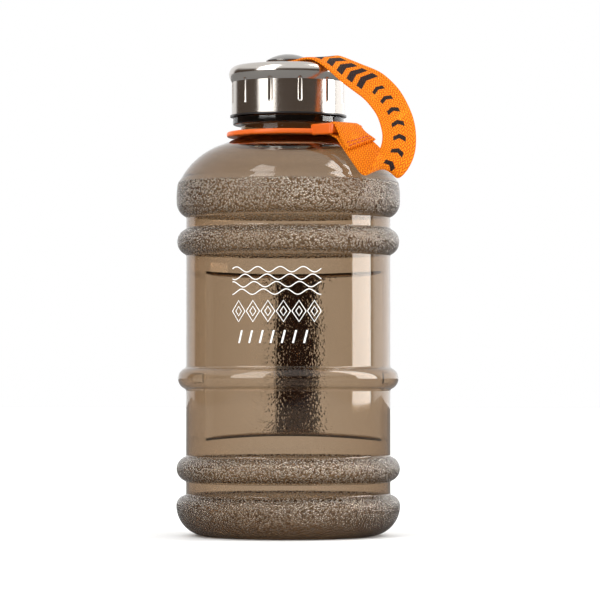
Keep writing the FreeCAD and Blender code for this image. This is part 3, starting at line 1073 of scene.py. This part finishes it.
@dataclass
class Strap:
    """One strip of webbing: from under the button, down round a fold, and round the lug's bar."""

    width: float = 19.5
    thickness: float = 1.6
    rows: int = 560
    around: int = 36
    hole_r: float = 3.3
    hole_z: Pair = (270.0, 277.0)
    route: tuple[tuple[float, ...], ...] = (  # a point in line with the lug, and the way across it
        (-11, 0, 273.5, 0, 1, 0),
        (1, 0, 273.5, 0, 1, 0),
        (13, 0, 273.5, 0, 1, 0),
        (24, 0.4, 275.2, -0.02, 0.99, 0.07),
        (30.5, 1.2, 274.6, -0.06, 0.97, 0.2),
        (36, 2.2, 272.2, -0.11, 0.93, 0.34),
        (48, 4.2, 265.2, -0.05, 0.8, 0.6),
        (61.2, 5.2, 258.2, 0.2, 0.72, 0.67),
        (72.5, 5.8, 248.8, 0.38, 0.74, 0.55),
        (79.9, 6.2, 237.2, 0.49, 0.8, 0.34),
        (82.9, 5.4, 225, 0.56, 0.82, 0.1),
        (82.2, 2.9, 216, 0.62, 0.78, -0.1),
        (79.6, 0, 211, 0.68, 0.73, -0.06),
        (73.9, -1.2, 209.6, 0.68, 0.72, 0.14),
        (67.3, -0.6, 213.4, 0.43, 0.8, 0.42),
        (59.8, 0.1, 220.1, 0.1, 0.85, 0.5),
        (52.4, 0.4, 226.1, 0, 0.92, 0.36),
        (48, 0.2, 228.7, 0, 0.99, 0.12),
        (44.5, 0, 229.4, 0, 1, 0),
        (40.9, 0, 233, 0, 1, 0),
        (44.5, 0, 236.5, 0, 1, 0),
        (48.8, 0, 234, 0, 0.99, 0.12),
        (51.6, 0.2, 230.1, 0, 0.94, 0.3),
        (54.8, 0.3, 226.8, 0, 0.9, 0.42),
        (58.4, 0.3, 223.9, 0.05, 0.88, 0.47),
    )
    blend_z: Pair = (245.0, 271.5)
    stitch: Pair = (2.3, 0.38)
    stitch_rows: tuple[float, ...] = (1.5, 4.2)
    stitch_count: int = 6

    def __post_init__(self) -> None:
        """Work out the strip's middle line and the way it faces, row by row."""
        keys = np.array(self.route, float)
        spans = np.linalg.norm(np.diff(keys[:, :3], axis=0), axis=1)
        marks = np.concatenate([[0.0], np.cumsum(spans)])
        slopes = self.spline_slopes(marks, keys)
        fine = np.linspace(0, marks[-1], 4000)
        drawn = self.hermite(marks, keys, slopes, fine)
        travelled = np.concatenate([[0.0], np.cumsum(np.linalg.norm(np.diff(drawn[:, :3], axis=0), axis=1))])
        self.length = float(travelled[-1])
        self.along = np.linspace(0, self.length, self.rows + 1)
        rows = self.hermite(marks, keys, slopes, np.interp(self.along, travelled, fine))
        self.middle = rows[:, :3]
        run = np.gradient(self.middle, axis=0)
        self.run = run / np.linalg.norm(run, axis=1, keepdims=True)
        across = rows[:, 3:] - (rows[:, 3:] * self.run).sum(1, keepdims=True) * self.run
        self.across = across / np.linalg.norm(across, axis=1, keepdims=True)
        self.out = np.cross(self.run, self.across)

    @staticmethod
    def spline_slopes(marks: np.ndarray, keys: np.ndarray) -> np.ndarray:
        """The slope at each key of the smoothest curve through them all.

        Args:
            marks: each key's place along the curve.
            keys: the values at the keys.

        Returns:
            The slopes.
        """
        gap = np.diff(marks)
        count = len(marks)
        left, right = np.zeros((count, count)), np.zeros(keys.shape)
        rise = np.diff(keys, axis=0) / gap[:, None]
        left[0, :2], right[0] = (2, 1), 3 * rise[0]
        left[-1, -2:], right[-1] = (1, 2), 3 * rise[-1]
        for i in range(1, count - 1):
            left[i, i - 1 : i + 2] = gap[i], 2 * (gap[i - 1] + gap[i]), gap[i - 1]
            right[i] = 3 * (gap[i] * rise[i - 1] + gap[i - 1] * rise[i])
        return np.linalg.solve(left, right)

    @staticmethod
    def hermite(
        marks: np.ndarray, keys: np.ndarray, slopes: np.ndarray, places: np.ndarray
    ) -> np.ndarray:
        """The curve's values at places along it.

        Args:
            marks: each key's place along the curve.
            keys: the values at the keys.
            slopes: the slopes there.
            places: where the values are wanted.

        Returns:
            The values, one row for each place.
        """
        i = np.clip(np.searchsorted(marks, places, side="right") - 1, 0, len(marks) - 2)
        gap = (marks[i + 1] - marks[i])[:, None]
        t = (places - marks[i])[:, None] / gap
        value = keys[i] * (2 * t**3 - 3 * t**2 + 1) + slopes[i] * gap * (t**3 - 2 * t**2 + t)
        return value + keys[i + 1] * (3 * t**2 - 2 * t**3) + slopes[i + 1] * gap * (t**3 - t**2)

    def section(self) -> np.ndarray:
        """The webbing's rounded cross-section: across and out pairs, once round."""
        half, thick = self.width / 2, self.thickness / 2
        edge = thick * 0.85
        flat = np.linspace(-half + edge, half - edge, self.around // 2 - 3)
        turns = np.linspace(QUARTER, -QUARTER, 5)[1:-1]
        top = [(a, thick * (1 - 0.12 * (a / half) ** 2)) for a in flat]
        right = [(half - edge + edge * math.cos(t), thick * 0.88 * math.sin(t)) for t in turns]
        return np.array(top + right + [(-a, -b) for a, b in top] + [(-a, -b) for a, b in right])

    def strip(self) -> bpy.types.Object:
        """The webbing strip, wrapped from a flat grid round the section along the route."""
        section = self.section()
        bpy.ops.object.select_all(action="DESELECT")
        bpy.ops.mesh.primitive_grid_add(x_subdivisions=len(section), y_subdivisions=self.rows, size=2.0)
        obj = bpy.context.active_object
        obj.name = "strap_webbing"
        flat = Bench.points(obj)
        around = np.rint((flat[:, 0] + 1) / 2 * len(section)).astype(int) % len(section)
        row = np.rint((flat[:, 1] + 1) / 2 * self.rows).astype(int)
        across, out = section[around, 0], section[around, 1]
        ripple = 1 + 0.012 * np.sin(self.along[row] / 9.0) * np.sin(self.along[row] / 3.7)
        place = self.middle[row] + self.across[row] * (across * ripple)[:, None]
        place += self.out[row] * out[:, None]
        obj.data.vertices.foreach_set("co", (place * MM).ravel())
        layer = obj.data.attributes.new(CLOTH, "FLOAT_VECTOR", "POINT")
        cloth = np.stack([across * MM, self.along[row] * MM, (out > 0).astype(float)], 1)
        layer.data.foreach_set("vector", cloth.ravel())
        Bench.take(obj)
        bpy.ops.object.mode_set(mode="EDIT")
        bpy.ops.mesh.select_all(action="SELECT")
        bpy.ops.mesh.remove_doubles(threshold=0.01 * MM)
        bpy.ops.mesh.select_all(action="DESELECT")
        bpy.ops.mesh.select_mode(type="EDGE")
        bpy.ops.mesh.select_non_manifold()
        bpy.ops.mesh.edge_face_add()
        bpy.ops.mesh.select_mode(type="VERT")
        Bench.close()
        return obj

    def build(self) -> bpy.types.Object:
        """Model the strap and its stitching."""
        strap = self.strip()
        Bench.use(strap, Way.CUT, Bench.upright("post_hole", circle(self.hole_r), *self.hole_z))
        to_lug(strap)
        Bench.smooth(strap, 50)
        dress(strap, Webbing().make())
        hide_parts("strap_loop", "strap_cap_end")
        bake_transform(strap)
        self.stitching()
        LOG.info("strap is %.1f mm long and %.1f mm wide when flat", self.length, self.width)
        return strap

    def stitching(self) -> None:
        """Sew the strap's tail down with rows of stitches."""
        wide, thin = self.stitch
        made = []
        pitch = (self.width - 3.5) / self.stitch_count
        for back in self.stitch_rows:
            row = int(np.argmin(np.abs(self.along - (self.length - back))))
            for i in range(self.stitch_count):
                aside = (i - (self.stitch_count - 1) / 2) * pitch
                centre = self.middle[row] + self.across[row] * aside
                centre = centre + self.out[row] * self.thickness * 0.5
                bpy.ops.object.select_all(action="DESELECT")
                bpy.ops.mesh.primitive_uv_sphere_add(segments=12, ring_count=8, radius=MM)
                stitch = bpy.context.active_object
                turn = Matrix([self.across[row], self.run[row], self.out[row]]).transposed().to_4x4()
                size = Matrix.Diagonal((wide / 2, thin, thin, 1))
                stitch.data.transform(Matrix.Translation(Vector(centre) * MM) @ turn @ size)
                made.append(stitch)
        thread = Bench.together(made)
        thread.name = "strap_thread"
        to_lug(thread)
        Bench.smooth(thread, 60)
        dress(thread, Moulded("stitch_thread", (0.5, 0.05, 0.01), 0.6, 0.3).make())
        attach(thread, "ring")
        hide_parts("strap_stitching")


# ---------------------------------------------------------------- cap and button
def through(a: Pair, b: Pair, c: Pair, chord: float = 0.5) -> list[Pair]:
    """Points on the arc through three points.

    Args:
        a: its start.
        b: a point on it.
        c: its end.
        chord: the longest step between points.

    Returns:
        The points, both ends included.
    """
    ax, ay, bx, by, cx, cy = *a, *b, *c
    d = 2 * (ax * (by - cy) + bx * (cy - ay) + cx * (ay - by))
    sa, sb, sc = ax * ax + ay * ay, bx * bx + by * by, cx * cx + cy * cy
    x = (sa * (by - cy) + sb * (cy - ay) + sc * (ay - by)) / d
    y = (sa * (cx - bx) + sb * (ax - cx) + sc * (bx - ax)) / d
    start, middle, end = (math.atan2(py - y, px - x) for px, py in (a, b, c))
    middle = start + (middle - start + math.pi) % FULL_TURN - math.pi
    end = middle + (end - middle + math.pi) % FULL_TURN - math.pi
    return arc((x, y), math.hypot(ax - x, ay - y), start, end, chord)


@dataclass
class Cap:
    """The fluted steel cap over its threaded plastic insert."""

    radius: float = 32.9
    low: float = 243.4
    bead: Pair = (34.5, 267.0)
    top: Pair = (29.0, 272.3)
    sheet: float = 0.6
    hole_r: float = 3.08
    flute_count: int = 12
    flute_r: float = 1.9
    flute_depth: float = 0.8
    flute_z: Pair = (249.0, 264.0)
    flute_turn: float = 18.7

    def outline(self, skin: float) -> list[Pair]:
        """The shell's outline, from the rim to the axis.

        Args:
            skin: how far it is moved in, which is 0 for the outside.

        Returns:
            Radius and height pairs.
        """
        wall = self.radius - skin
        bead_r, bead_z = self.bead
        top_r, top_z = self.top
        shoulder = bead_z - 4.5
        points = [(0.0, self.low), (wall, self.low)]
        points += through((wall, shoulder), (wall + 0.9, bead_z - 2.6), (bead_r - skin, bead_z))
        inset = skin * 0.8
        points += through(
            (bead_r - skin, bead_z), (bead_r - 1.5 - inset, top_z - 1.5 - inset), (top_r, top_z - skin)
        )[1:]
        return points + [(top_r * 0.6, top_z - skin), (top_r * 0.3, top_z - skin), (0.0, top_z - skin)]

    def flutes(self, radius: float) -> bpy.types.Object:
        """Upright round-ended bars that press the flutes.

        Args:
            radius: the radius of the bars.

        Returns:
            All the bars, as one tool.
        """
        low, high = self.flute_z
        centre = self.radius - self.flute_depth + self.flute_r
        bpy.ops.object.select_all(action="DESELECT")
        bpy.ops.mesh.primitive_uv_sphere_add(segments=24, ring_count=16, radius=radius * MM)
        bar = bpy.context.active_object
        stretch = (high - low) / 2 - self.flute_r
        for vertex in bar.data.vertices:
            up = vertex.co.z / MM
            shift = stretch if up > 0.01 else (-stretch if up < -0.01 else 0.0)
            vertex.co.z += shift * MM
        bar.data.transform(Matrix.Translation((0, -centre * MM, (low + high) / 2 * MM)))
        return Bench.copies(bar, self.flute_count, self.flute_turn)

    def build(self) -> bpy.types.Object:
        """Model the shell and dress the pieces inside it."""
        shell = Bench.turned("cap_steel_shell", self.outline(0.0))
        lining = [(r, z - (1 if z < self.low + 0.1 else 0)) for r, z in self.outline(self.sheet)]
        inside = Bench.turned("cap_inside", lining)
        Bench.use(inside, Way.CUT, self.flutes(self.flute_r + self.sheet))
        Bench.use(shell, Way.CUT, inside)
        Bench.use(shell, Way.CUT, self.flutes(self.flute_r))
        Bench.use(shell, Way.CUT, Bench.upright("hole", circle(self.hole_r), 260.0, 280.0))
        Bench.round_edges(shell, 0.22, 2, 20)
        Bench.smooth(shell, 40)
        dress(shell, Steel("brushed_steel", (0.6, 0.56, 0.52), 0.15, 0.014).make())
        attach(shell, "cap")
        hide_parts("cap_shell")
        nodes = frame["nodes"]
        dress(nodes["cap_insert"], Moulded("black_insert", (0.012, 0.011, 0.011), 0.3, 0.1).make())
        dress(nodes["cap_liner"], Moulded("silicone", (0.75, 0.75, 0.73), 0.55, 0.0).make())
        return shell


@dataclass
class Button:
    """The domed button over the strap, on a post that turns in the cap."""

    radius: float = 12.9
    height: Pair = (274.5, 279.2)
    rim: float = 0.9
    post_r: float = 3.0
    post_low: float = 270.2
    bore_r: float = 1.55

    def build(self) -> bpy.types.Object:
        """Model the button and dress its screw and washer."""
        low, high = self.height
        side = low + self.rim
        sag = high - side
        dome = (self.radius**2 + sag**2) / (2 * sag)
        half_z = high - dome + math.sqrt(dome**2 - (self.radius / 2) ** 2)
        bore_top, edge = low + 1.5, 0.4
        outline = [(0.0, bore_top), (self.bore_r, bore_top), (self.bore_r, self.post_low)]
        outline += [(self.post_r, self.post_low), (self.post_r, low), (self.radius - edge, low)]
        outline += arc((self.radius - edge, low + edge), edge, -QUARTER, 0, 0.2)[1:]
        outline += through((self.radius, side), (self.radius / 2, half_z), (0.0, high), 0.8)
        button = Bench.turned("button_head", outline, 96)
        Bench.smooth(button, 35)
        dress(button, Steel("polished_steel", (0.3, 0.285, 0.27), 0.16).make())
        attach(button, "post")
        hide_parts("strap_button")
        screw = Steel("screw_steel", (0.5, 0.49, 0.48), 0.28).make()
        for name in ("button_screw", "button_washer"):
            dress(frame["nodes"][name], screw)
        return button


@dataclass
class Print:
    """White line art on the front wall: plain waves over a row of diamonds and a row of dashes."""

    wall_r: float = 59.2
    line: float = 0.32
    centre_z: float = 132.0
    waves: tuple[float, ...] = (20.5, 16.3, 12.1, 7.9)
    swell: float = 1.5
    wave_length: float = 13.0
    diamonds: tuple[int, float, float] = (6, 8.8, -3.0)  # how many, their pitch and height
    diamond_sizes: Pair = (1.0, 0.45)
    dashes: tuple[int, float] = (7, 6.3)
    dash_z: Pair = (-21.0, -13.8)

    def strokes(self) -> list[tuple[list[Pair], bool]]:
        """Each line as points across and up from the middle, and whether it closes."""
        lines: list[tuple[list[Pair], bool]] = []
        for height in self.waves:
            wave = []
            for x in np.linspace(-26, 26, 120):
                phase = (x + height * 1.3) / self.wave_length * 2 * math.pi
                wave.append((x, height + self.swell * math.sin(phase)))
            lines.append((wave, False))
        count, pitch, level = self.diamonds
        for i in range(count):
            middle = -22.0 + i * pitch
            for size in self.diamond_sizes:
                wide, tall = 4 * size, 6 * size
                corners = [(middle - wide, level), (middle, level - tall)]
                corners += [(middle + wide, level), (middle, level + tall)]
                lines.append((corners, True))
        count, pitch = self.dashes
        low, high = self.dash_z
        for i in range(count):
            left = -22.0 + i * pitch
            for shift in (0.0, 0.55):
                lines.append(([(left + shift, low), (left + shift + 1.8, high)], False))
        return lines

    def build(self) -> bpy.types.Object:
        """Draw the lines as thin ink on the wall."""
        curve = bpy.data.curves.new("front_print", "CURVE")
        curve.dimensions = "3D"
        curve.bevel_depth = self.line * MM
        curve.bevel_resolution = 1
        for points, closed in self.strokes():
            spline = curve.splines.new("POLY")
            spline.points.add(len(points) - 1)
            for knot, (x, up) in zip(spline.points, points):
                knot.co = (x * MM, 0, (self.centre_z + up) * MM, 1)
            spline.use_cyclic_u = closed
        ink = bpy.data.objects.new("front_print", curve)
        bpy.context.collection.objects.link(ink)
        Bench.take(ink)
        bpy.ops.object.convert(target="MESH")
        ink = bpy.context.active_object
        x, y, z = Bench.points(ink).T
        turn = x / (self.wall_r * MM)
        out = (self.wall_r + 0.05) * MM - y * 0.12
        wrapped = np.stack([out * np.sin(turn), -out * np.cos(turn), z], 1)
        ink.data.vertices.foreach_set("co", wrapped.ravel())
        dress(ink, Moulded("white_ink", (0.95, 0.94, 0.92), 0.4, 0.0).make())
        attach(ink, "bottle")
        return ink


# ---------------------------------------------------------------- the studio
@dataclass
class Studio:
    """A pale floor, soft light all round, and the camera."""

    distance: float = 1.88
    azimuth: float = 6.7
    eye_z: float = 0.096
    aim_z: float = 0.1364
    right_shift: float = 0.0068
    lens: float = 194.5
    dark_turn: Pair = (-131.0, 111.0)
    dark: Triple = (0.1, 0.076, 0.06)
    right_glow: float = 1.6
    overhead_rise: Pair = (15.0, 36.0)
    overhead: float = 0.95
    fill: float = 1.12
    boxes: tuple[tuple[Pair, Pair, float, float], ...] = (  # turn, rise, softness, brightness
        ((-63.0, -26.0), (5.0, 70.0), 1.5, 5.0),
        ((77.0, 106.5), (-12.0, 64.0), 1.0, 8.0),
    )

    def build(self) -> None:
        """Set up the world, the floor, the lights and the camera."""
        scene = bpy.context.scene
        scene.view_settings.view_transform = "Standard"
        self.world()
        self.floor()
        self.lights()
        self.camera()

    def toward(self) -> tuple[Vector, Vector]:
        """The level directions from the jug to the camera, and to the camera's right."""
        turn = math.radians(self.azimuth)
        return Vector((math.sin(turn), -math.cos(turn), 0)), Vector((math.cos(turn), math.sin(turn), 0))

    def camera(self) -> None:
        """Place the camera."""
        front, right = self.toward()
        target = right * self.right_shift + Vector((0, 0, self.aim_z))
        place = front * self.distance + right * self.right_shift + Vector((0, 0, self.eye_z))
        data = bpy.data.cameras.new("camera")
        data.lens = self.lens
        data.sensor_width = 36.0
        camera = bpy.data.objects.new("camera", data)
        camera.location = place
        camera.rotation_euler = (target - place).to_track_quat("-Z", "Y").to_euler()
        bpy.context.collection.objects.link(camera)
        bpy.context.scene.camera = camera

    def world(self) -> None:
        """White behind the jug, dark in front of it, and two tall soft lights for it to reflect."""
        world = bpy.data.worlds.new("studio")
        bpy.context.scene.world = world
        g = Graph(world)
        direction = g.node("ShaderNodeTexCoord", out="Generated")
        front, right = self.toward()
        dot = {"operation": "DOT_PRODUCT"}
        facing = g.node("ShaderNodeVectorMath", dot, direction, tuple(front), out="Value")
        side = g.node("ShaderNodeVectorMath", dot, direction, tuple(right), out="Value")
        up = g.split(direction)[2]
        turn = side.maths("ARCTAN2", side, facing) * math.degrees(1)
        rise = up.maths("ARCSINE", up) * math.degrees(1)
        dark = turn.band(*self.dark_turn, 4.0)
        room = g.mix(dark, grey(1), rgba(*self.dark))
        room = g.mix(turn.step(110, 116) * turn.step(175, 150), room, grey(self.right_glow))
        room = g.mix(rise.step(*self.overhead_rise), room, grey(self.overhead))
        for turns, rises, soft, level in self.boxes:
            inside = turn.band(*turns, soft) * rise.band(*rises, 2.0)
            room = g.mix(inside, room, rgba(level, level * 0.985, level * 0.96))
        room = g.mix(g.node(LIGHT_PATH, out="Is Diffuse Ray"), room, grey(self.fill))
        room = g.mix(g.node(LIGHT_PATH, out="Is Camera Ray"), room, grey(1))
        g.node("ShaderNodeOutputWorld", None, g.node("ShaderNodeBackground", None, room, 1.0))

    def floor(self) -> None:
        """The pale floor."""
        bpy.ops.object.select_all(action="DESELECT")
        bpy.ops.mesh.primitive_plane_add(size=12.0)
        plane = bpy.context.active_object
        plane.name = "floor"
        made, g = new_material("floor_paint")
        pale = g.principled(Base_Color=rgba(0.93, 0.93, 0.925), Roughness=0.6)
        shade = g.node("ShaderNodeBsdfDiffuse", None, grey(0.2))
        white = g.node("ShaderNodeEmission", None, grey(1), 0.96)
        seen = g.blend(g.node(LIGHT_PATH, out="Is Glossy Ray"), pale, shade)
        g.finish(g.blend(g.node(LIGHT_PATH, out="Is Transmission Ray"), seen, white))
        dress(plane, made)

    def softbox(
        self, name: str, turn: float, distance: float, size: Pair, height: float, power: float
    ) -> None:
        """Add a soft light that faces the jug.

        Args:
            name: its name.
            turn: degrees from the camera's direction towards the camera's right.
            distance: how far from the jug, in metres.
            size: its width and height in metres.
            height: the height of its middle in metres.
            power: its brightness, where 1 looks white.
        """
        front, right = self.toward()
        angle = math.radians(turn)
        place = (front * math.cos(angle) + right * math.sin(angle)) * distance + Vector((0, 0, height))
        data = bpy.data.lights.new(name, "AREA")
        data.shape = "RECTANGLE"
        data.size, data.size_y = size
        data.energy = power * size[0] * size[1] * math.pi
        light = bpy.data.objects.new(name, data)
        light.location = place
        light.rotation_euler = (place - Vector((0, 0, 0.14))).to_track_quat("Z", "Y").to_euler()
        light.visible_camera = light.visible_glossy = light.visible_transmission = False
        bpy.context.collection.objects.link(light)

    def lights(self) -> None:
        """A broad soft key from the front left and a small one from the right, for shading alone."""
        self.softbox("key_left", -45, 1.5, (0.9, 0.9), 1.0, 3.0)
        self.softbox("side_right", 80, 1.4, (0.4, 0.9), 0.4, 1.6)


def main() -> None:
    """Build the jug and the studio round it."""
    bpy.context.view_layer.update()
    builders = [Bottle(), Print(), NeckRing(), Strap(), Cap(), Button()]
    for builder in builders:
        piece = builder.build()
        LOG.info("built %s with %d faces", piece.name, len(piece.data.polygons))
    Studio().build()


if __name__ == "__main__":
    logging.basicConfig(level=logging.INFO)
    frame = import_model()
    main()
